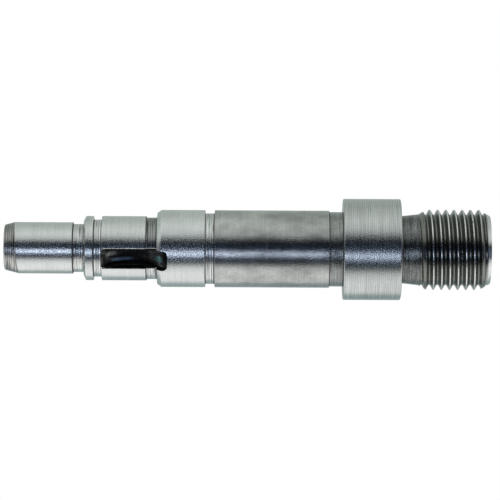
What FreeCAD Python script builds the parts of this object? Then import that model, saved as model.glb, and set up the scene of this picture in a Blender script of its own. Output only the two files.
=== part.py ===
"""Stepped output shaft of a small machine, turned, threaded and ground from one steel bar.

The origin is the centre of the threaded end's face and +Z runs along the axis to the plain nose.
From the bottom up: chuck thread, thread relief, flange, neck, bearing seat with a retaining ring
groove, inner seat, recess, keyed gear seat with a second ring groove, collar, relief and a rear
journal with a tapered nose. The keyway opens towards -Y.
Lengths and diameters are in millimetres, angles in degrees.
"""
import FreeCAD, Part
import math
import os

from FreeCAD import Vector

# Diameters, from the threaded end to the nose
THREAD_MAJOR_D = 12.5
THREAD_END_FACE_D = 10.6
THREAD_RELIEF_MOUTH_D = 11.05
THREAD_RELIEF_D = 10.5
FLANGE_D = 15.75
NECK_D = 11.6
BEARING_SEAT_D = 12.0
BEARING_RING_GROOVE_D = 11.0
RECESS_D = 9.6
GEAR_SEAT_D = 10.0
GEAR_RING_GROOVE_D = 8.9
JOURNAL_RELIEF_D = 7.5
JOURNAL_D = 8.0
NOSE_TIP_D = 7.1

# Lengths along the axis, in the same order
THREAD_LENGTH = 11.1
THREAD_RELIEF_LENGTH = 2.8
FLANGE_LENGTH = 8.95
NECK_LENGTH = 2.15
BEARING_SEAT_LENGTH = 17.8
BEARING_RING_GROOVE_WIDTH = 1.45
INNER_SEAT_LENGTH = 7.45
RECESS_LENGTH = 1.7
GEAR_SEAT_LENGTH = 6.9
GEAR_RING_GROOVE_WIDTH = 1.3
COLLAR_LENGTH = 1.5
JOURNAL_RELIEF_LENGTH = 1.7
JOURNAL_LENGTH = 10.65

# Right-hand thread; its run-out angle is where the last turn ends in the relief, counted from +X
THREAD_PITCH = 1.27
THREAD_FORM_ANGLE = 60.0
THREAD_CREST_WIDTH = 0.17
THREAD_ROOT_WIDTH = 0.21
THREAD_END_TAPER_ANGLE = 30.0
THREAD_RUNOUT_ANGLE = 328.0

# Chamfers
SEAT_EDGE = 0.1
FLANGE_EDGE = 0.2
RELIEF_CORNER = 0.3
INNER_SEAT_LEAD_LENGTH = 0.65
INNER_SEAT_LEAD_DEPTH = 0.45
COLLAR_LEAD_LENGTH = 0.35
COLLAR_LEAD_DEPTH = 0.65

# Tapered nose, turned slightly off the ground journal's axis
NOSE_TAPER_LENGTH = 1.75
NOSE_TIP_CHAMFER = 0.15
NOSE_RUNOUT = 0.08
NOSE_RUNOUT_ANGLE = 20.0
NOSE_FACING_STOCK = 0.5

# Keyway with a curved floor, left by a disc cutter with a chamfered rim
KEYWAY_WIDTH = 3.2
KEYWAY_DEPTH = 2.1
KEYWAY_CUTTER_D = 13.5
KEYWAY_CORNER = 0.35
KEYWAY_INTO_RING_GROOVE = 0.3

# Centre holes that carry the bar between centres
CENTRE_HOLE_D = 2.0
CENTRE_HOLE_LENGTH = 3.6
CENTRE_CONE_ANGLE = 60.0
CENTRE_DRILL_POINT_ANGLE = 118.0
THREAD_END_CENTRE_D = 4.2
NOSE_END_CENTRE_D = 3.4
CENTRE_OVERCUT = 0.5

# Heights of the shoulders above the threaded end's face
THREAD_RELIEF_Z = THREAD_LENGTH
FLANGE_Z = THREAD_RELIEF_Z + THREAD_RELIEF_LENGTH
NECK_Z = FLANGE_Z + FLANGE_LENGTH
BEARING_SEAT_Z = NECK_Z + NECK_LENGTH
BEARING_RING_GROOVE_Z = BEARING_SEAT_Z + BEARING_SEAT_LENGTH
INNER_SEAT_Z = BEARING_RING_GROOVE_Z + BEARING_RING_GROOVE_WIDTH
RECESS_Z = INNER_SEAT_Z + INNER_SEAT_LENGTH
GEAR_SEAT_Z = RECESS_Z + RECESS_LENGTH
GEAR_RING_GROOVE_Z = GEAR_SEAT_Z + GEAR_SEAT_LENGTH
COLLAR_Z = GEAR_RING_GROOVE_Z + GEAR_RING_GROOVE_WIDTH
JOURNAL_RELIEF_Z = COLLAR_Z + COLLAR_LENGTH
JOURNAL_Z = JOURNAL_RELIEF_Z + JOURNAL_RELIEF_LENGTH
NOSE_Z = JOURNAL_Z + JOURNAL_LENGTH

ORIGIN = Vector(0, 0, 0)
AXIS = Vector(0, 0, 1)


def half_section(corners):
    """A closed wire in the XZ plane through (radius, height) corners."""
    points = [Vector(radius, 0, height) for radius, height in corners]
    return Part.makePolygon(points + points[:1])


def revolved(corners):
    """The solid that a half section sweeps out around the axis."""
    return Part.Face(half_section(corners)).revolve(ORIGIN, AXIS, 360)


def shoulder(height, d_below, d_above, lead_length=SEAT_EDGE, lead_depth=SEAT_EDGE):
    """The corners of a step between two diameters, with its outer corner chamfered."""
    r_below = d_below / 2
    r_above = d_above / 2
    if r_above > r_below:
        return [(r_below, height), (r_above - lead_depth, height), (r_above, height + lead_length)]
    return [(r_below, height - lead_length), (r_below - lead_depth, height), (r_above, height)]


def end_taper_length(radius, end_d):
    """The length over which the taper at a thread's end opens from a diameter to a radius."""
    return (radius - end_d / 2) / math.tan(math.radians(THREAD_END_TAPER_ANGLE))


def thread_turn():
    """One turn of the V between the crests, starting in the XZ plane at the origin's height."""
    slope = math.tan(math.radians(THREAD_FORM_ANGLE / 2))
    crest_r = THREAD_MAJOR_D / 2
    root_half = THREAD_ROOT_WIDTH / 2
    root_r = crest_r - ((THREAD_PITCH - THREAD_CREST_WIDTH) / 2 - root_half) / slope
    mouth_r = crest_r + THREAD_CREST_WIDTH / 4 / slope
    mouth_half = root_half + (mouth_r - root_r) * slope
    section = half_section([
        (root_r, -root_half),
        (root_r, root_half),
        (mouth_r, mouth_half),
        (mouth_r, -mouth_half),
    ])
    path = Part.makeHelix(THREAD_PITCH, THREAD_PITCH, crest_r)
    return Part.Wire(path.Edges).makePipeShell([section], True, True)


def threaded_end():
    """The thread, cut turn by turn from the relief down past the end face, then tapered at both ends."""
    crest_r = THREAD_MAJOR_D / 2
    end = Part.makeCylinder(crest_r, THREAD_RELIEF_Z)
    turns = math.ceil(THREAD_RELIEF_Z / THREAD_PITCH) + 1
    for i in range(turns):
        turn = thread_turn()
        turn.rotate(ORIGIN, AXIS, THREAD_RUNOUT_ANGLE)
        turn.translate(AXIS * (THREAD_RELIEF_Z - (i + 1) * THREAD_PITCH))
        end = end.cut(turn)
    outside_r = crest_r + THREAD_PITCH / 4
    taper_envelope = revolved([
        (0, 0),
        (THREAD_END_FACE_D / 2, 0),
        (outside_r, end_taper_length(outside_r, THREAD_END_FACE_D)),
        (outside_r, THREAD_RELIEF_Z - end_taper_length(outside_r, THREAD_RELIEF_MOUTH_D)),
        (THREAD_RELIEF_MOUTH_D / 2, THREAD_RELIEF_Z),
        (0, THREAD_RELIEF_Z),
    ])
    return end.common(taper_envelope)


def turned_body():
    """The bar above the thread after turning and grinding, with stock left on the nose."""
    corners = [
        (0, THREAD_RELIEF_Z),
        (THREAD_RELIEF_MOUTH_D / 2, THREAD_RELIEF_Z),
        (THREAD_RELIEF_D / 2, FLANGE_Z - RELIEF_CORNER),
        (THREAD_RELIEF_D / 2 + RELIEF_CORNER, FLANGE_Z),
        (FLANGE_D / 2 - FLANGE_EDGE, FLANGE_Z),
        (FLANGE_D / 2, FLANGE_Z + FLANGE_EDGE),
    ]
    corners += shoulder(NECK_Z, FLANGE_D, NECK_D, FLANGE_EDGE, FLANGE_EDGE)
    corners += shoulder(BEARING_SEAT_Z, NECK_D, BEARING_SEAT_D)
    corners += shoulder(BEARING_RING_GROOVE_Z, BEARING_SEAT_D, BEARING_RING_GROOVE_D)
    corners += shoulder(INNER_SEAT_Z, BEARING_RING_GROOVE_D, BEARING_SEAT_D)
    corners += shoulder(
        RECESS_Z, BEARING_SEAT_D, RECESS_D, INNER_SEAT_LEAD_LENGTH, INNER_SEAT_LEAD_DEPTH
    )
    corners += shoulder(GEAR_SEAT_Z, RECESS_D, GEAR_SEAT_D)
    corners += shoulder(GEAR_RING_GROOVE_Z, GEAR_SEAT_D, GEAR_RING_GROOVE_D)
    corners += shoulder(COLLAR_Z, GEAR_RING_GROOVE_D, GEAR_SEAT_D)
    corners += shoulder(
        JOURNAL_RELIEF_Z, GEAR_SEAT_D, JOURNAL_RELIEF_D, COLLAR_LEAD_LENGTH, COLLAR_LEAD_DEPTH
    )
    corners += shoulder(JOURNAL_Z, JOURNAL_RELIEF_D, JOURNAL_D)
    corners += [
        (JOURNAL_D / 2, NOSE_Z + NOSE_FACING_STOCK),
        (0, NOSE_Z + NOSE_FACING_STOCK),
    ]
    return revolved(corners)


def nose_cut():
    """What the last turning takes off: the nose's face, rim and taper, round a line off the axis."""
    tip_r = NOSE_TIP_D / 2
    slope = (JOURNAL_D / 2 - tip_r) / NOSE_TAPER_LENGTH
    outside_r = JOURNAL_D / 2 + 2 * NOSE_RUNOUT
    rim_z = NOSE_Z - NOSE_TIP_CHAMFER
    cut = revolved([
        (0, NOSE_Z),
        (tip_r - NOSE_TIP_CHAMFER, NOSE_Z),
        (tip_r, rim_z),
        (outside_r, rim_z - (outside_r - tip_r) / slope),
        (outside_r, NOSE_Z + 2 * NOSE_FACING_STOCK),
        (0, NOSE_Z + 2 * NOSE_FACING_STOCK),
    ])
    angle = math.radians(NOSE_RUNOUT_ANGLE)
    cut.translate(Vector(math.cos(angle), math.sin(angle), 0) * NOSE_RUNOUT)
    return cut


def keyway_cut():
    """The disc that cuts the keyway, at its full depth below the gear seat."""
    cutter_r = KEYWAY_CUTTER_D / 2
    seat_r = GEAR_SEAT_D / 2
    cutter_centre_r = seat_r - KEYWAY_DEPTH + cutter_r
    half_mouth = math.sqrt(cutter_r**2 - (cutter_centre_r - seat_r) ** 2)
    centre_z = GEAR_RING_GROOVE_Z + KEYWAY_INTO_RING_GROOVE - half_mouth
    side_centre = Vector(-KEYWAY_WIDTH / 2, -cutter_centre_r, centre_z)
    disc = Part.makeCylinder(cutter_r, KEYWAY_WIDTH, side_centre, Vector(1, 0, 0))
    rims = [edge for edge in disc.Edges if isinstance(edge.Curve, Part.Circle)]
    return disc.makeChamfer(KEYWAY_CORNER, rims)


def centre_hole(mouth_d):
    """A centre hole that opens at the origin and runs up the axis."""
    slope = math.tan(math.radians(CENTRE_CONE_ANGLE / 2))
    hole_r = CENTRE_HOLE_D / 2
    point_length = hole_r / math.tan(math.radians(CENTRE_DRILL_POINT_ANGLE / 2))
    return revolved([
        (0, -CENTRE_OVERCUT),
        (mouth_d / 2 + CENTRE_OVERCUT * slope, -CENTRE_OVERCUT),
        (hole_r, (mouth_d / 2 - hole_r) / slope),
        (hole_r, CENTRE_HOLE_LENGTH),
        (0, CENTRE_HOLE_LENGTH + point_length),
    ])


def stepped_shaft():
    """The finished shaft as one solid."""
    nose_centre = centre_hole(NOSE_END_CENTRE_D)
    nose_centre.rotate(ORIGIN, Vector(1, 0, 0), 180)
    nose_centre.translate(AXIS * NOSE_Z)
    body = turned_body().cut(keyway_cut()).cut(nose_cut()).cut(nose_centre)
    end = threaded_end().cut(centre_hole(THREAD_END_CENTRE_D))
    return end.fuse(body).Solids[0]


os.makedirs("parts", exist_ok=True)
stepped_shaft().exportStep("parts/stepped_shaft.step")
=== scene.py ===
"""Looks of the stepped shaft: a fine mesh of the bar, its steel, the studio and the camera.

The row frame is kept: the shaft stands on its threaded end, +Z runs to the nose and the keyway opens
towards -Y. Lengths below are in millimetres and are scaled to metres when a mesh is made.
"""
import math

import bmesh
import bpy
import numpy as np
from mathutils import Matrix, Vector


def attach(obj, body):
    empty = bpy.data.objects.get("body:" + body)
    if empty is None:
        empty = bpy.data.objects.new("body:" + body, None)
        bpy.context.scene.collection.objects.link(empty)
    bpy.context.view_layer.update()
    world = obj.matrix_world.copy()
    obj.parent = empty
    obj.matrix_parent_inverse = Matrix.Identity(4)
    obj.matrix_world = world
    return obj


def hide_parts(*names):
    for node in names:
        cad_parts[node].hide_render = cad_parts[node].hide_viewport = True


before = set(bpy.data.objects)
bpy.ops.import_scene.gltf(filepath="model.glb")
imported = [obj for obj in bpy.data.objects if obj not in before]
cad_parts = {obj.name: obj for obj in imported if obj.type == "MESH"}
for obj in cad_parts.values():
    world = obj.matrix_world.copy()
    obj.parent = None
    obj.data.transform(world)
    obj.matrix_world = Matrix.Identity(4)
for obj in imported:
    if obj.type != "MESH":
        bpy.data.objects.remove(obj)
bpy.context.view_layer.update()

MM = 0.001
TAU = 2 * math.pi
COLUMNS = 160
ANGLES = np.arange(COLUMNS) / COLUMNS * TAU

# The direction from the shaft to the camera, and the one that is up in the picture
VIEW_ANGLE = math.radians(20.2)
TO_CAMERA = Vector((math.sin(VIEW_ANGLE), -math.cos(VIEW_ANGLE), 0))
PICTURE_UP = Vector((math.cos(VIEW_ANGLE), math.sin(VIEW_ANGLE), 0))

# The thread: half the angle of its V, half the flat at its root, the tapers at both ends, the roundings,
# and the angle round the shaft at which the middle of a groove meets the thread's top
THREAD_TOP = 11.1
PITCH = 1.27
HALF_V = math.radians(30)
CREST_R = 6.25
ROOT_R = 5.479
ROOT_HALF = 0.105
V_ROUNDING = 0.05
END_R = 5.3
RELIEF_MOUTH_R = 5.525
TAPER_SLOPE = math.tan(math.radians(30))
TAPER_ROUNDING = 0.03
RUNOUT = math.radians(328)

# The thread's rows: how many turns they make, and how far from the middle of a groove they lie
TURNS = 10
GROOVE_ROWS = [0.0, 0.05, 0.085, 0.11, 0.15, 0.22, 0.30, 0.38, 0.45, 0.50, 0.53, 0.555, 0.58]

# Nicks in the thread: degrees up from the line of sight, height, half width and depth
NICKS = [(45, 3.1, 0.26, 0.14), (26, 3.1, 0.22, 0.12), (-9, 4.4, 0.3, 0.1), (-14, 5.0, 0.22, 0.08)]

# The tapered relief above the thread, and the fillet that leads to the flange
RELIEF_LENGTH = 2.5
RELIEF_TAPER = 0.275
RELIEF_ROWS = 60
FILLET = 0.3

# The centre holes: the ring round their mouths, each cone's mouth and depth, and the pilot hole
HOLE_RIM = 0.05
END_CONE_R = 2.1
END_CONE_DEPTH = 1.905
NOSE_CONE_R = 1.7
NOSE_CONE_DEPTH = 1.21
PILOT_R = 1.0
PILOT_DEPTH = 3.6
PILOT_TIP = 4.2

# Heights of the shoulders
FLANGE_Z = 13.9
NECK_Z = 22.85
BEARING_Z = 25.0
RING_1_Z = 42.8
INNER_Z = 44.25
RECESS_Z = 51.7
GEAR_Z = 53.4
RING_2_Z = 60.3
COLLAR_Z = 61.6
RELIEF_Z = 63.1
JOURNAL_Z = 64.8
JOURNAL_TOP = 72.9
NOSE_Z = 75.45

# Radii, with the flange a hair under the size of its solid
FLANGE_R = 7.867
NECK_R = 5.8
BEARING_R = 6.0
RING_1_R = 5.5
RECESS_R = 4.8
GEAR_R = 5.0
RING_2_R = 4.45
JOURNAL_RELIEF_R = 3.75
JOURNAL_R = 4.0

# Radii of the rounded edges, and how far in from an edge its nearest ring lies
FLANGE_EDGE = 0.2
SEAT_EDGE = 0.08
FINE_EDGE = 0.07
RING_GAP = 0.02
WALL_GAP = 0.03

# The chamfers that lead onto the inner seat and the collar: radius and distance below the shoulder
INNER_LEAD = [(5.97, 0.6), (5.58, 0.04), (5.53, 0.0)]
COLLAR_LEAD = [(4.95, 0.31), (4.4, 0.02), (4.35, 0.0)]
INNER_LEAD_LENGTH = 0.65
COLLAR_LEAD_LENGTH = 0.35

# The nose, a cone turned a little off the journal's axis, with a short rim at its tip
NOSE_SHIFT = 0.08
NOSE_SHIFT_ANGLE = math.radians(20)
NOSE_TIP_R = 3.55
NOSE_SLOPE = 0.45 / 1.75
NOSE_RIM = [(0.05, 0.08), (0.15, 0.0), (0.2, 0.0)]
NOSE_RIM_DEPTH = 0.15
NOSE_ROWS = 40

# The waves that coarse tools left, each by depth and pitch, the rows in one and the step on a plain wall
ROWS_A_WAVE = 6
WALL_STEP = 1.0
RELIEF_WAVE = (0.008, 0.36)
NECK_WAVE = (0.008, 0.3)
RING_1_WAVE = (0.02, 0.42)
RECESS_WAVE = (0.022, 0.36)
RING_2_WAVE = (0.022, 0.38)
JOURNAL_WAVE = (0.03, 0.37)
NOSE_WAVE = (0.006, 0.28)

# The length of wall painted dark as shade in the lower and in the upper corner of each groove
NECK_SHADE = (0.16, 0.12)
RING_1_SHADE = (0.17, 0.13)
RECESS_SHADE = (0.17, 0.12)
RING_2_SHADE = (0.14, 0.16)
JOURNAL_SHADE = (0.12, 0.14)

# The keyway and the disc that cuts it, with its centre beside the shaft
KEYWAY_HALF = 1.6
DISC_R = 6.75
DISC_CORNER = 0.35
DISC_Y = -9.65
DISC_Z = 55.707
DISC_COLUMNS = 240

# The break of the keyway's long edges, how far its cutter reaches past it, and the gaps to the shoulders
BREAK = 0.1
BREAK_SPARE = 0.1
BREAK_THICKNESS = 0.2
BREAK_GAP = 0.01
BREAK_TOP_GAP = 0.12

# How near two points are joined, how small a sliver is dropped, and the angle from which an edge is sharp
WELD = 0.0002
SLIVER = 0.0001
SHARP = math.radians(26)

# A face is part of a round wall if it leans less than the first and looks outwards more than the second
LEAN = 0.02
OUTWARDS = 0.99

# The grain of the steels, in steps per millimetre along X, Y and Z, but for the rings along X and Y alone.
# A span is the range of the grain's values that counts, and the rings also add to the roughness.
RING_GRAIN = 0.12
RING_SPAN = (0.3, 0.7)
RING_ROUGHNESS = 0.25
SPECK_GRAIN = (6.0, 6.0, 6.0)
SPECK_SPAN = (0.35, 0.65)
GLINT_SPAN = (0.38, 0.62)
STAIN_GRAIN = (0.28, 0.28, 0.2)
STAIN_SPAN = (0.35, 0.7)
SCRATCH_GRAIN = (0.25, 0.25, 6.0)
SCRATCH_SPAN = (0.54, 0.64)

# The keyway's steel: streaks along the slot, which smooth it and pale it with painted reflection, and faint
# lines across
# The near-black base is painted shade in the slot
SLOT_SHADE = (0.018, 0.017, 0.016)
SLOT_GLEAM = (0.16, 0.2, 0.24)
SLOT_HEIGHT = 0.004
STREAK_GRAIN = (1.8, 1.8, 0.25)
PALE_SPAN = (0.5, 0.75)
PALE_SHARE = 0.3
SMOOTH_SPAN = (0.4, 0.7)
SMOOTH_ROUGHNESS = (0.3, 0.18)
ACROSS_GRAIN = (0.3, 0.3, 3.5)
ACROSS_SPAN = (0.3, 0.7)
ACROSS_TONE = (0.7, 1.3)
ACROSS_HEIGHT = 0.2

# Paler patches on the keyway's dark floor, the first two painted reflections: place across and along the
# shaft, half sizes, colour
SLOT_SPOTS = [
    (-0.6, 57.0, 0.4, 2.0, (0.22, 0.34, 0.5)),
    (0.45, 58.7, 0.5, 1.1, (0.2, 0.2, 0.19)),
    (-0.1, 51.4, 0.7, 0.8, (0.08, 0.17, 0.18)),
]
SPOT_CORE = 0.3
SPOT_SPAN = (0.35, 0.6)
SPOT_LEAST = 0.3

# Where the painted shade in the thread's grooves begins and is full, under the crests and above the end
# face, and where the darkening on the side towards +X begins and is full
SHADE_UNDER_CREST = (0.02, 0.09)
SHADE_ABOVE_END = (0.45, 0.75)
DARK_ASIDE = (0.5, 4.0)

# The lamps' light by the angle round the shaft, in degrees from the camera, downwards in the picture
LAMP_STOPS = [
    (-180, (0.46, 0.52, 0.50)),
    (-110, (0.62, 0.68, 0.64)),
    (-68, (0.94, 0.98, 0.96)),
    (-44, (0.76, 0.79, 0.79)),
    (-33, (0.4, 0.42, 0.43)),
    (-26, (0.09, 0.1, 0.11)),
    (-20, (0.022, 0.028, 0.036)),
    (-4, (0.022, 0.034, 0.06)),
    (8, (0.1, 0.13, 0.21)),
    (24, (0.1, 0.13, 0.2)),
    (36, (0.03, 0.045, 0.07)),
    (46, (0.16, 0.17, 0.18)),
    (58, (0.9, 0.92, 0.93)),
    (80, (1.2, 1.2, 1.2)),
    (115, (1.18, 1.18, 1.18)),
    (130, (0.46, 0.54, 0.55)),
    (152, (0.38, 0.47, 0.48)),
    (180, (0.46, 0.52, 0.50)),
]

# The cool strip: its middle in degrees, where it fades on both sides, and where along the shaft
STRIP_MIDDLE = 16
STRIP_FADE = (1, 11)
STRIP_START = (-0.13, 0.0)
STRIP_END = (0.35, 0.65)
STRIP_LIGHT = [1.8, 2.0, 2.4]

# The dim light straight along the shaft
ALONG_FADE = (0.93, 1.0)
ALONG_LIGHT = (0.4, 0.41, 0.42)

# The pale floor and backdrop, in metres
FLOOR_RADIUS = 3.0
BACKDROP_RADIUS = 3.2

# The camera: its distance, where it aims, its roll, and half the width that the picture spans there
DISTANCE = 480.0
AIM_Z = 37.295
AIM_DOWN = 0.177
ROLL = math.radians(0.3)
HALF_PICTURE = 38.94
SENSOR_WIDTH = 36.0

# The corner zone is steel painted dark as shade: in the corners of the grooves, in the fillet under the
# flange and on three shoulders that face down
GROUND, BEARING, FLANGE, TURNED, NECK, THREAD, KEYWAY, FACE, CORNER_SHADE, NOSE, RELIEF, RECESS = range(12)


def smooth_min(a, b, width):
    """The smaller of two radii, with the corner where they meet rounded."""
    near = np.maximum(width - np.abs(a - b), 0) / width
    return np.minimum(a, b) - near * near * width / 4


def smooth_max(a, b, width):
    """The larger of two radii, with the corner where they meet rounded."""
    return -smooth_min(-a, -b, width)


class Skin:
    """Collects strips of quads around the axis, each with a zone number."""

    def __init__(self):
        self.points = []
        self.faces = []
        self.zones = []

    def row(self, radius, height):
        """Adds a ring of points and returns the number of its first one."""
        start = len(self.points)
        radius = np.broadcast_to(radius, COLUMNS)
        height = np.broadcast_to(height, COLUMNS)
        self.points.extend(zip(radius * np.cos(ANGLES) * MM, radius * np.sin(ANGLES) * MM, height * MM))
        return start

    def join(self, below, above, zone):
        """Fills the band between two rings."""
        for i in range(COLUMNS):
            k = (i + 1) % COLUMNS
            self.faces.append((below + i, below + k, above + k, above + i))
            self.zones.append(zone)

    def outline(self, corners, last=None):
        """Joins a run of (radius, height, zone) rings; a ring's zone is that of the band under it."""
        for radius, height, zone in corners:
            ring = self.row(radius, height)
            if last is not None:
                self.join(last, ring, zone)
            last = ring
        return last


def arc(radius, height, size, start, end, zone, steps=4):
    """Rings along an arc in the half section, with its centre at (radius, height), angles in degrees."""
    out = []
    for i in range(steps + 1):
        a = math.radians(start + (end - start) * i / steps)
        out.append((radius + size * math.cos(a), height + size * math.sin(a), zone))
    return out


def tool_wave(z, start, depth, pitch):
    """The waves of a coarse tool: each one falls from zero to the depth at its middle."""
    return depth * (np.cos(TAU * (z - start) / pitch) - 1) / 2


def wall(radius, low, high, zone, wave=None, corners=(0.0, 0.0)):
    """Rings up a cylinder, with close ones beside its edges and, if asked, the waves of a coarse tool.

    Where a shoulder stands over the wall, its corner is painted dark as shade for the length given in
    corners.
    """
    inner_low, inner_high = low + max(WALL_GAP, corners[0]), high - max(WALL_GAP, corners[1])
    step = wave[1] / ROWS_A_WAVE if wave else WALL_STEP
    count = max(1, round((inner_high - inner_low) / step))
    out = [(radius, low, zone)]
    for z in np.linspace(inner_low, inner_high, count + 1):
        out.append((radius + tool_wave(z, inner_low, *wave) if wave else radius, z, zone))
    out.append((radius, high, CORNER_SHADE if corners[1] else zone))
    if corners[0]:
        out[1] = (*out[1][:2], CORNER_SHADE)
    return out


def step_up(r_low, r_high, height, zone, edge):
    """A shoulder that faces down: out along its face and round its outer edge."""
    return [
        (r_low + RING_GAP, height, zone),
        (r_high - edge - RING_GAP, height, zone),
        *arc(r_high - edge, height + edge, edge, -90, 0, zone),
    ]


def step_down(r_high, r_low, height, zone, edge):
    """A shoulder that faces up: round its outer edge and in along its face."""
    return [
        *arc(r_high - edge, height - edge, edge, 0, 90, zone),
        (r_high - edge - RING_GAP, height, zone),
        (r_low + RING_GAP, height, zone),
    ]


def thread_radius(angle, z):
    """The radius of the threaded end, with the V, the tapers at both ends and a few nicks."""
    phase = (z - THREAD_TOP) / PITCH - (angle - RUNOUT) / TAU
    from_root = np.abs(phase - np.round(phase)) * PITCH
    flank = ROOT_R + (from_root - ROOT_HALF) / math.tan(HALF_V)
    r = smooth_min(flank, CREST_R, V_ROUNDING)
    r = smooth_max(r, ROOT_R, V_ROUNDING)
    r = smooth_min(r, END_R + z * TAPER_SLOPE, TAPER_ROUNDING)
    r = smooth_min(r, RELIEF_MOUTH_R + (THREAD_TOP - z) * TAPER_SLOPE, TAPER_ROUNDING)
    towards_camera = math.atan2(TO_CAMERA.y, TO_CAMERA.x)
    for up_degrees, height, size, depth in NICKS:
        away = (angle - towards_camera - math.radians(up_degrees) + math.pi) % TAU - math.pi
        far = (away * CREST_R / size) ** 2 + ((z - height) / size) ** 2
        r = r - depth * np.exp(-far)
    return r


def thread_band(skin):
    """The thread as helical rows, cut off level at both ends."""
    up = [away / PITCH for away in GROOVE_ROWS]
    turn = up + [0.5] + [1 - part for part in reversed(up[1:])]
    per_turn = len(turn)
    phases = [whole + part for whole in range(1 - TURNS, 1) for part in turn] + [1.0]
    rings = []
    for phase in phases:
        z = np.clip(THREAD_TOP + PITCH * (phase + (ANGLES - RUNOUT) / TAU), 0, THREAD_TOP)
        rings.append(skin.row(thread_radius(ANGLES, z), z))
    for j in range(len(phases) - 1):
        for i in range(COLUMNS - 1):
            skin.faces.append((rings[j] + i, rings[j] + i + 1, rings[j + 1] + i + 1, rings[j + 1] + i))
            skin.zones.append(THREAD)
        if j + 1 + per_turn < len(rings):
            a, b = rings[j] + COLUMNS - 1, rings[j + 1] + COLUMNS - 1
            skin.faces.append((a, rings[j + per_turn], rings[j + 1 + per_turn], b))
            skin.zones.append(THREAD)


def nose(skin, last):
    """The tapered nose, turned a little off the journal's axis, its face and its centre hole."""
    towards = NOSE_SHIFT * np.cos(ANGLES - NOSE_SHIFT_ANGLE)
    aside = NOSE_SHIFT * np.sin(ANGLES - NOSE_SHIFT_ANGLE)
    rim_z = NOSE_Z - NOSE_RIM_DEPTH
    cone_r = np.sqrt(JOURNAL_R**2 - 2 * JOURNAL_R * towards + NOSE_SHIFT**2)
    start_z = rim_z - (cone_r - NOSE_TIP_R) / NOSE_SLOPE

    def ring(radius, height):
        return skin.row(towards + np.sqrt(radius**2 - aside**2), height)

    rows = [(skin.row(JOURNAL_R, start_z - RING_GAP), GROUND), (skin.row(JOURNAL_R, start_z), GROUND)]
    for k in range(1, NOSE_ROWS + 1):
        z = start_z + (rim_z - start_z) * k / NOSE_ROWS
        wave = tool_wave(z, rim_z, *NOSE_WAVE)
        rows.append((ring(NOSE_TIP_R + (rim_z - z) * NOSE_SLOPE + wave, z), NOSE))
    for inward, below in NOSE_RIM:
        rows.append((ring(NOSE_TIP_R - inward, NOSE_Z - below), NOSE))
    for row, zone in rows:
        skin.join(last, row, zone)
        last = row
    hole = [
        (NOSE_CONE_R + HOLE_RIM, NOSE_Z, FACE),
        (NOSE_CONE_R, NOSE_Z, FACE),
        (PILOT_R, NOSE_Z - NOSE_CONE_DEPTH, TURNED),
        (PILOT_R, NOSE_Z - PILOT_DEPTH, TURNED),
        (0.0, NOSE_Z - PILOT_TIP, TURNED),
    ]
    skin.outline(hole, last)


def shaft_mesh():
    """The whole bar as one closed mesh, before the keyway is cut."""
    skin = Skin()
    skin.outline([
        (0.0, PILOT_TIP, TURNED),
        (PILOT_R, PILOT_DEPTH, TURNED),
        (PILOT_R, END_CONE_DEPTH, TURNED),
        (END_CONE_R, 0.0, TURNED),
        (END_CONE_R + HOLE_RIM, 0.0, FACE),
        (END_R - WALL_GAP, 0.0, FACE),
        (END_R, 0.0, FACE),
    ])
    thread_band(skin)
    top_ring = skin.row(thread_radius(ANGLES, THREAD_TOP), THREAD_TOP)
    last = skin.outline(lower_corners() + upper_corners(), top_ring)
    nose(skin, last)
    return skin


def lower_corners():
    """The half section from the thread to the bearing seat's groove."""
    out = []
    for k in range(RELIEF_ROWS + 1):
        z = THREAD_TOP + RELIEF_LENGTH * k / RELIEF_ROWS
        wave = tool_wave(z, THREAD_TOP, *RELIEF_WAVE)
        out.append((RELIEF_MOUTH_R - RELIEF_TAPER * k / RELIEF_ROWS + wave, z, RELIEF))
    fillet_r = RELIEF_MOUTH_R - RELIEF_TAPER + FILLET
    # The fillet under the flange is painted dark as shade
    out += arc(fillet_r, FLANGE_Z - FILLET, FILLET, 180, 90, CORNER_SHADE)
    out += step_up(fillet_r + RING_GAP / 2, FLANGE_R, FLANGE_Z, FLANGE, FLANGE_EDGE)
    out += wall(FLANGE_R, FLANGE_Z + FLANGE_EDGE, NECK_Z - FLANGE_EDGE, FLANGE)
    out += step_down(FLANGE_R, NECK_R, NECK_Z, FLANGE, FLANGE_EDGE)
    out += wall(NECK_R, NECK_Z, BEARING_Z, NECK, NECK_WAVE, NECK_SHADE)
    out += step_up(NECK_R, BEARING_R, BEARING_Z, CORNER_SHADE, FINE_EDGE)
    out += wall(BEARING_R, BEARING_Z + FINE_EDGE, RING_1_Z - SEAT_EDGE, BEARING)
    out += step_down(BEARING_R, RING_1_R, RING_1_Z, BEARING, SEAT_EDGE)
    return out


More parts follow.
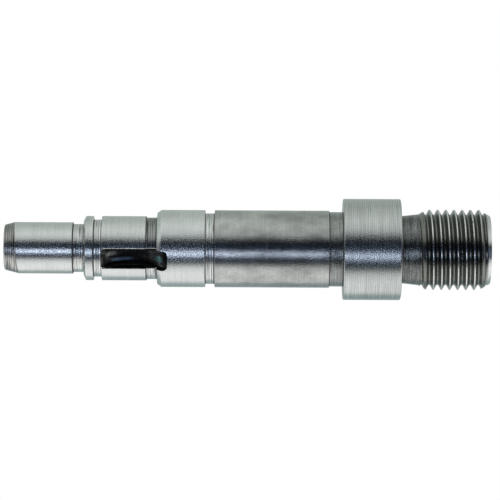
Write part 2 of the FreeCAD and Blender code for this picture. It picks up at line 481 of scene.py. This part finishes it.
def upper_corners():
    """The half section from the bearing seat's groove to the top of the journal."""
    out = wall(RING_1_R, RING_1_Z, INNER_Z, TURNED, RING_1_WAVE, RING_1_SHADE)
    out += step_up(RING_1_R, BEARING_R, INNER_Z, TURNED, SEAT_EDGE)
    out += wall(BEARING_R, INNER_Z + SEAT_EDGE, RECESS_Z - INNER_LEAD_LENGTH, GROUND)
    out += [(radius, RECESS_Z - below, GROUND) for radius, below in INNER_LEAD]
    out.append((RECESS_R + RING_GAP, RECESS_Z, TURNED))
    out += wall(RECESS_R, RECESS_Z, GEAR_Z, RECESS, RECESS_WAVE, RECESS_SHADE)
    out += step_up(RECESS_R, GEAR_R, GEAR_Z, CORNER_SHADE, FINE_EDGE)
    out += wall(GEAR_R, GEAR_Z + FINE_EDGE, RING_2_Z - SEAT_EDGE, GROUND)
    out += step_down(GEAR_R, RING_2_R, RING_2_Z, GROUND, SEAT_EDGE)
    out += wall(RING_2_R, RING_2_Z, COLLAR_Z, TURNED, RING_2_WAVE, RING_2_SHADE)
    out += step_up(RING_2_R, GEAR_R, COLLAR_Z, TURNED, SEAT_EDGE)
    out += wall(GEAR_R, COLLAR_Z + SEAT_EDGE, RELIEF_Z - COLLAR_LEAD_LENGTH, GROUND)
    out += [(radius, RELIEF_Z - below, GROUND) for radius, below in COLLAR_LEAD]
    out.append((JOURNAL_RELIEF_R + RING_GAP, RELIEF_Z, TURNED))
    out += wall(JOURNAL_RELIEF_R, RELIEF_Z, JOURNAL_Z, TURNED, JOURNAL_WAVE, JOURNAL_SHADE)
    out += step_up(JOURNAL_RELIEF_R, JOURNAL_R, JOURNAL_Z, CORNER_SHADE, SEAT_EDGE)
    out += wall(JOURNAL_R, JOURNAL_Z + SEAT_EDGE, JOURNAL_TOP, GROUND)
    return out


def made_object(name, points, faces, zones, materials):
    """A welded, smooth-shaded object in the scene from points in metres."""
    mesh = bpy.data.meshes.new(name)
    mesh.from_pydata([tuple(float(c) for c in p) for p in points], [], faces)
    for material in materials:
        mesh.materials.append(material)
    mesh.polygons.foreach_set("material_index", zones)
    work = bmesh.new()
    work.from_mesh(mesh)
    bmesh.ops.remove_doubles(work, verts=work.verts, dist=WELD * MM)
    bmesh.ops.dissolve_degenerate(work, edges=work.edges, dist=SLIVER * MM)
    work.to_mesh(mesh)
    work.free()
    mesh.polygons.foreach_set("use_smooth", [True] * len(mesh.polygons))
    made = bpy.data.objects.new(name, mesh)
    bpy.context.scene.collection.objects.link(made)
    return made


def keyway_cutter(materials):
    """The disc that leaves the keyway, its rim slightly chamfered."""
    inner_r, inner_half = DISC_R - DISC_CORNER, KEYWAY_HALF - DISC_CORNER
    profile = [(0, -KEYWAY_HALF), (inner_r, -KEYWAY_HALF), (DISC_R, -inner_half)]
    profile += [(DISC_R, inner_half), (inner_r, KEYWAY_HALF), (0, KEYWAY_HALF)]
    points, faces = [], []
    for radius, across in profile:
        for i in range(DISC_COLUMNS):
            a = i / DISC_COLUMNS * TAU
            points.append((across, radius * math.cos(a) + DISC_Y, radius * math.sin(a) + DISC_Z))
    for j in range(len(profile) - 1):
        near, far = j * DISC_COLUMNS, (j + 1) * DISC_COLUMNS
        for i in range(DISC_COLUMNS):
            k = (i + 1) % DISC_COLUMNS
            faces.append((near + i, near + k, far + k, far + i))
    points = [(x * MM, y * MM, z * MM) for x, y, z in points]
    return made_object("keyway_cutter", points, faces, [KEYWAY] * len(faces), materials)


def edge_break_cutter(materials):
    """Four slim bars that take the sharp edge off the keyway's long sides."""
    seats = [
        (GEAR_R, GEAR_Z + BREAK_GAP, RING_2_Z - BREAK_TOP_GAP),
        (RECESS_R, RECESS_Z + BREAK_GAP, GEAR_Z - BREAK_GAP),
    ]
    points, faces = [], []
    for seat_r, low, high in seats:
        outer = KEYWAY_HALF + BREAK
        in_wall = Vector((KEYWAY_HALF, BREAK - math.sqrt(seat_r**2 - KEYWAY_HALF**2)))
        on_seat = Vector((outer, -math.sqrt(seat_r**2 - outer**2)))
        along = (on_seat - in_wall).normalized()
        away = Vector((along.y, -along.x)) * BREAK_THICKNESS
        quad = [in_wall - along * BREAK_SPARE, on_seat + along * BREAK_SPARE]
        quad += [quad[1] + away, quad[0] + away]
        for side in (1, -1):
            start = len(points)
            points += [(side * p.x, p.y, z) for z in (low, high) for p in quad]
            ring = [(k, (k + 1) % 4, (k + 1) % 4 + 4, k + 4) for k in range(4)]
            box = [tuple(start + k for k in face) for face in ring + [(3, 2, 1, 0), (4, 5, 6, 7)]]
            faces += [face[::-1] for face in box] if side > 0 else box
    points = [(x * MM, y * MM, z * MM) for x, y, z in points]
    return made_object("edge_cutter", points, faces, [GROUND] * len(faces), materials)


def cut_by(piece, cutter):
    """Takes the cutter's volume off the piece and removes the cutter."""
    cut = piece.modifiers.new("cut", "BOOLEAN")
    cut.operation = "DIFFERENCE"
    cut.solver = "EXACT"
    cut.object = cutter
    shown = piece.evaluated_get(bpy.context.evaluated_depsgraph_get())
    mesh = bpy.data.meshes.new_from_object(shown)
    piece.modifiers.clear()
    piece.data = mesh
    bpy.data.objects.remove(cutter)
    mesh.name = piece.name


def set_normals(piece):
    """Sharp edges at the steps, and exact normals on the round walls, also beside the keyway."""
    mesh = piece.data
    mesh.polygons.foreach_set("use_smooth", [True] * len(mesh.polygons))
    mesh.set_sharp_from_angle(angle=SHARP)
    exact = []
    for face in mesh.polygons:
        round_wall = face.material_index in (GROUND, BEARING, FLANGE) and abs(face.normal.z) < LEAN
        for k in face.loop_indices:
            corner = mesh.vertices[mesh.loops[k].vertex_index].co
            out = Vector((corner.x, corner.y, 0)).normalized()
            exact.append(tuple(out) if round_wall and out.dot(face.normal) > OUTWARDS else (0.0, 0.0, 0.0))
    mesh.normals_split_custom_set(exact)


class Nodes:
    """Adds shader nodes and links them as they are made."""

    def __init__(self, tree):
        self.tree = tree
        tree.nodes.clear()

    def add(self, kind, inputs=None, **settings):
        node = self.tree.nodes.new(kind)
        for key, value in settings.items():
            setattr(node, key, value)
        for key, value in (inputs or {}).items():
            socket = node.inputs[key]
            if isinstance(value, bpy.types.NodeSocket):
                self.tree.links.new(value, socket)
            else:
                socket.default_value = value
        return node

    def math(self, operation, a, b=0.0):
        return self.add("ShaderNodeMath", {0: a, 1: b}, operation=operation).outputs[0]

    def times(self, a, b):
        return self.math("MULTIPLY", a, b)

    def spread(self, value, low, high, to_low=0.0, to_high=1.0, smooth=False):
        """A value moved from one range to another, and kept within it."""
        kind = "SMOOTHSTEP" if smooth else "LINEAR"
        inputs = {0: value, 1: low, 2: high, 3: to_low, 4: to_high}
        return self.add("ShaderNodeMapRange", inputs, interpolation_type=kind).outputs[0]

    def blend(self, share, first, second):
        """One colour turning into another; each is a socket or a plain colour."""
        mix = self.add("ShaderNodeMix", {0: share}, data_type="RGBA")
        for socket, colour in ((mix.inputs[6], first), (mix.inputs[7], second)):
            if isinstance(colour, bpy.types.NodeSocket):
                self.tree.links.new(colour, socket)
            else:
                socket.default_value = (*colour, 1)
        return mix.outputs[2]

    def scaled(self, colour, tone):
        """A colour made lighter or darker."""
        return self.add("ShaderNodeVectorMath", {0: colour, 3: tone}, operation="SCALE").outputs[0]


class Metal(Nodes):
    """The nodes of one steel, from its grain to its shader."""

    def __init__(self, name):
        self.material = bpy.data.materials.new(name)
        self.material.use_nodes = True
        super().__init__(self.material.node_tree)
        self.place = self.add("ShaderNodeTexCoord").outputs["Object"]
        self.axes = self.add("ShaderNodeSeparateXYZ", {0: self.place}).outputs

    def noise(self, grain, detail, roughness):
        """Noise that varies with the place on the steel; its grain is in steps per millimetre."""
        steps = [along / MM for along in grain]
        place = self.add("ShaderNodeVectorMath", {0: self.place, 1: steps}, operation="MULTIPLY")
        inputs = {"Vector": place.outputs[0], "Scale": 1.0, "Detail": detail, "Roughness": roughness}
        return self.add("ShaderNodeTexNoise", inputs).outputs[0]

    def thread_shade(self):
        """How much painted shade lies in the thread's grooves: none on the crests and close to the end face.
        """
        x, y, z = self.axes
        radius = self.math("SQRT", self.math("ADD", self.times(x, x), self.times(y, y)))
        begins, full = [(CREST_R - below) * MM for below in SHADE_UNDER_CREST]
        flank_shade = self.spread(radius, full, begins, 1.0, 0.0)
        return self.times(flank_shade, self.spread(z, *[height * MM for height in SHADE_ABOVE_END]))

    def finish(self, colour, roughness, height, brushed):
        """Bare metal whose highlights are drawn out along the shaft by the share given in brushed."""
        bump = self.add("ShaderNodeBump", {"Strength": 1.0, "Distance": MM, "Height": height}).outputs[0]
        tangent = self.add("ShaderNodeTangent", direction_type="RADIAL", axis="Z").outputs[0]
        shader = self.add("ShaderNodeBsdfPrincipled", {
            "Base Color": colour,
            "Roughness": roughness,
            "Normal": bump,
            "Tangent": tangent,
            "Metallic": 1.0,
            "Anisotropic": brushed,
            "Anisotropic Rotation": 0.25,
        })
        self.add("ShaderNodeOutputMaterial", {"Surface": shader.outputs[0]})
        return self.material


def steel(name, base, roughness=0.22, sparkle=0.5, bumps=0.02, rings=0.08, ring_pitch=0.2, ring_height=0.003,
          specks=0.08, stains=0.1, scratches=0.0, feed=0.0, feed_pitch=0.38, brushed=0.6, dark_side=0.0,
          flank=None, dull=None):
    """A bare steel with the rings of its tool, grain and stains.

    rings, specks, stains, scratches and feed are the shares by which each makes the tone vary, and
    dark_side is the share lost on the side towards +X. Where flank gives a colour, the thread is painted
    dark as shade between its bright crests. dull gives two heights, and the tones below and above them.
    """
    n = Metal(name)
    ring = n.noise((RING_GRAIN, RING_GRAIN, 1 / ring_pitch), detail=3.0, roughness=0.6)
    speck = n.noise(SPECK_GRAIN, detail=1.0, roughness=0.6)
    stain = n.noise(STAIN_GRAIN, detail=4.0, roughness=0.6)
    tone = n.spread(ring, *RING_SPAN, 1 - rings, 1 + rings)
    tone = n.times(tone, n.spread(speck, *SPECK_SPAN, 1 - specks, 1 + specks))
    tone = n.times(tone, n.spread(stain, *STAIN_SPAN, 1.0, 1 - stains))
    if scratches:
        scratch = n.noise(SCRATCH_GRAIN, detail=1.0, roughness=0.5)
        tone = n.times(tone, n.spread(scratch, *SCRATCH_SPAN, 1.0, 1 - scratches))
    if feed:
        wave = n.math("SINE", n.times(n.axes[2], TAU / (feed_pitch * MM)))
        tone = n.times(tone, n.spread(wave, -1.0, 1.0, 1 - feed, 1 + feed))
    # Darker towards +X
    if dark_side:
        begins, full = DARK_ASIDE
        tone = n.times(tone, n.spread(n.axes[0], begins * MM, full * MM, 1.0, 1 - dark_side, smooth=True))
    if dull:
        low, high, share_low, share_high = dull
        tone = n.times(tone, n.spread(n.axes[2], low * MM, high * MM, share_low, share_high, smooth=True))
    # Between the thread's crests the colour turns to flank, a painted shade
    colour = n.blend(n.thread_shade(), base, flank) if flank else list(base)
    colour = n.scaled(colour, tone)
    rough = n.spread(speck, *GLINT_SPAN, roughness * (1 - sparkle), roughness * (1 + sparkle))
    rough = n.math("ADD", rough, n.spread(ring, *RING_SPAN, 0.0, RING_ROUGHNESS * rings))
    height = n.math("ADD", n.times(ring, ring_height), n.times(speck, bumps))
    return n.finish(colour, rough, height, brushed)


def slot_steel():
    """Near-black milled steel painted as shade, with pale streaks and patches of painted reflection, and
    faint lines across the slot.
    """
    n = Metal("keyway_steel")
    streak = n.noise(STREAK_GRAIN, detail=2.0, roughness=0.55)
    across = n.noise(ACROSS_GRAIN, detail=2.0, roughness=0.6)
    # The pale streaks are painted reflection
    colour = n.blend(n.spread(streak, *PALE_SPAN, 0.0, PALE_SHARE), SLOT_SHADE, SLOT_GLEAM)
    # Patches of colour on the floor, mostly painted reflection
    for x, z, half_wide, half_long, patch_colour in SLOT_SPOTS:
        share = n.spread(streak, *SPOT_SPAN, SPOT_LEAST, 1.0)
        for axis, centre, half in ((0, x, half_wide), (2, z, half_long)):
            away = n.math("ABSOLUTE", n.math("SUBTRACT", n.axes[axis], centre * MM))
            near = n.spread(away, SPOT_CORE * half * MM, half * MM, 1.0, 0.0, smooth=True)
            share = n.times(share, near)
        colour = n.blend(share, colour, patch_colour)
    colour = n.scaled(colour, n.spread(across, *ACROSS_SPAN, *ACROSS_TONE))
    rough = n.spread(streak, *SMOOTH_SPAN, *SMOOTH_ROUGHNESS)
    height = n.times(n.math("ADD", streak, n.times(across, ACROSS_HEIGHT)), SLOT_HEIGHT)
    return n.finish(colour, rough, height, brushed=0.0)


def steels():
    """The materials in the order of the zone numbers."""
    return [
        steel("ground_steel", (0.60, 0.62, 0.61)),
        steel("bearing_steel", (0.53, 0.54, 0.525), roughness=0.17, stains=0.45,
              dull=(32.0, 38.0, 0.85, 0.93)),
        steel("flange_steel", (0.47, 0.49, 0.48), roughness=0.18, rings=0.2, ring_pitch=0.16,
              feed=0.12, feed_pitch=0.29),
        steel("turned_steel", (0.58, 0.60, 0.59), roughness=0.2, rings=0.25, ring_height=0.01,
              scratches=0.6, feed=0.22),
        steel("neck_steel", (0.31, 0.325, 0.315), roughness=0.18, sparkle=0.4, bumps=0.03, rings=0.2,
              ring_height=0.012, specks=0.2, stains=0.5, scratches=0.3),
        # The thread's flanks are painted dark as shade between the bright crests
        steel("thread_steel", (0.66, 0.675, 0.665), roughness=0.2, sparkle=0.35, bumps=0.01,
              specks=0.12, stains=0.2, flank=(0.2, 0.205, 0.19)),
        slot_steel(),
        steel("faced_steel", (0.5, 0.5, 0.49), roughness=0.32, sparkle=0.3, bumps=0.01, rings=0.1,
              ring_pitch=0.3, brushed=0.0),
        # Painted shade for the corners of the grooves and under the shoulders
        steel("corner_shade_steel", (0.12, 0.11, 0.1), roughness=0.4, sparkle=0.3, rings=0.3, specks=0.3,
              stains=0.3, brushed=0.0),
        steel("nose_steel", (0.42, 0.415, 0.4), roughness=0.24, rings=0.3, ring_height=0.01,
              scratches=0.6, feed=0.3, feed_pitch=0.33, dark_side=0.45),
        steel("relief_steel", (0.195, 0.205, 0.2), roughness=0.18, sparkle=0.4, bumps=0.03, rings=0.35,
              ring_height=0.012, specks=0.4, stains=0.6, scratches=0.5),
        steel("recess_steel", (0.58, 0.60, 0.59), roughness=0.2, rings=0.3, ring_height=0.01,
              scratches=0.7, feed=0.3, dark_side=0.5),
    ]


def lamp_room():
    """Soft studio light: large cards on both sides, a thin cool strip beside the camera, a dim rest."""
    world = bpy.data.worlds.new("studio")
    bpy.context.scene.world = world
    world.use_nodes = True
    n = Nodes(world.node_tree)
    way = n.add("ShaderNodeTexCoord").outputs["Generated"]
    front = n.add("ShaderNodeVectorMath", {0: way, 1: TO_CAMERA}, operation="DOT_PRODUCT").outputs["Value"]
    down = n.add("ShaderNodeVectorMath", {0: way, 1: -PICTURE_UP}, operation="DOT_PRODUCT").outputs["Value"]
    around = n.math("ARCTAN2", down, front)
    turn = n.spread(around, -math.pi, math.pi)
    ramp = n.add("ShaderNodeValToRGB", {0: turn})
    while len(ramp.color_ramp.elements) < len(LAMP_STOPS):
        ramp.color_ramp.elements.new(0.5)
    for element, (degrees, colour) in zip(ramp.color_ramp.elements, LAMP_STOPS):
        element.position = (degrees + 180) / 360
        element.color = (*colour, 1)
    along = n.add("ShaderNodeSeparateXYZ", {0: way}).outputs[2]
    aside = n.math("ABSOLUTE", n.math("SUBTRACT", around, math.radians(STRIP_MIDDLE)))
    strip = n.spread(aside, *[math.radians(edge) for edge in STRIP_FADE], 1.0, 0.0, smooth=True)
    strip = n.times(strip, n.spread(along, *STRIP_START, smooth=True))
    strip = n.times(strip, n.spread(along, *STRIP_END, 1.0, 0.0, smooth=True))
    cool = n.scaled(STRIP_LIGHT, strip)
    lit = n.add("ShaderNodeVectorMath", {0: ramp.outputs[0], 1: cool}, operation="ADD").outputs[0]
    ends = n.spread(n.math("ABSOLUTE", along), *ALONG_FADE, smooth=True)
    light = n.add("ShaderNodeBackground", {0: n.blend(ends, lit, ALONG_LIGHT), 1: 1.0})
    n.add("ShaderNodeOutputWorld", {0: light.outputs[0]})


def white_surround():
    """A pale floor and a pale backdrop all round, seen by the camera only."""
    material = bpy.data.materials.new("pale_paper")
    material.use_nodes = True
    n = Nodes(material.node_tree)
    glow = n.add("ShaderNodeEmission", {0: (1.0, 1.0, 1.0, 1.0), 1: 1.0})
    n.add("ShaderNodeOutputMaterial", {0: glow.outputs[0]})
    bpy.ops.mesh.primitive_circle_add(vertices=96, radius=FLOOR_RADIUS, fill_type="NGON", location=(0, 0, 0))
    floor = bpy.context.object
    floor.name = "floor"
    bpy.ops.mesh.primitive_uv_sphere_add(segments=64, ring_count=32, radius=BACKDROP_RADIUS)
    backdrop = bpy.context.object
    backdrop.name = "backdrop"
    for made in (floor, backdrop):
        made.data.materials.append(material)
        made.visible_diffuse = False
        made.visible_glossy = False
        made.visible_shadow = False


def camera():
    """A long lens square to the shaft, as in the photograph, with the shaft lying on its side."""
    lens = bpy.data.cameras.new("camera")
    lens.sensor_width = SENSOR_WIDTH
    lens.lens = SENSOR_WIDTH / 2 * DISTANCE / HALF_PICTURE
    lens.clip_start, lens.clip_end = 0.01, 20.0
    made = bpy.data.objects.new("camera", lens)
    bpy.context.scene.collection.objects.link(made)
    right = Vector((0, 0, -1)) * math.cos(ROLL) + PICTURE_UP * math.sin(ROLL)
    up = PICTURE_UP * math.cos(ROLL) + Vector((0, 0, 1)) * math.sin(ROLL)
    place = (Vector((0, 0, AIM_Z)) - PICTURE_UP * AIM_DOWN + TO_CAMERA * DISTANCE) * MM
    turned = Matrix((right, up, TO_CAMERA)).transposed()
    made.matrix_world = Matrix.Translation(place) @ turned.to_4x4()
    bpy.context.scene.camera = made


bpy.context.scene.view_settings.view_transform = "Standard"
bpy.context.scene.view_settings.look = "None"

materials = steels()
skin = shaft_mesh()
shaft = made_object("shaft_steel", skin.points, skin.faces, skin.zones, materials)
cut_by(shaft, keyway_cutter(materials))
cut_by(shaft, edge_break_cutter(materials))
set_normals(shaft)
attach(shaft, "root")
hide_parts("stepped_shaft")

lamp_room()
white_surround()
camera()
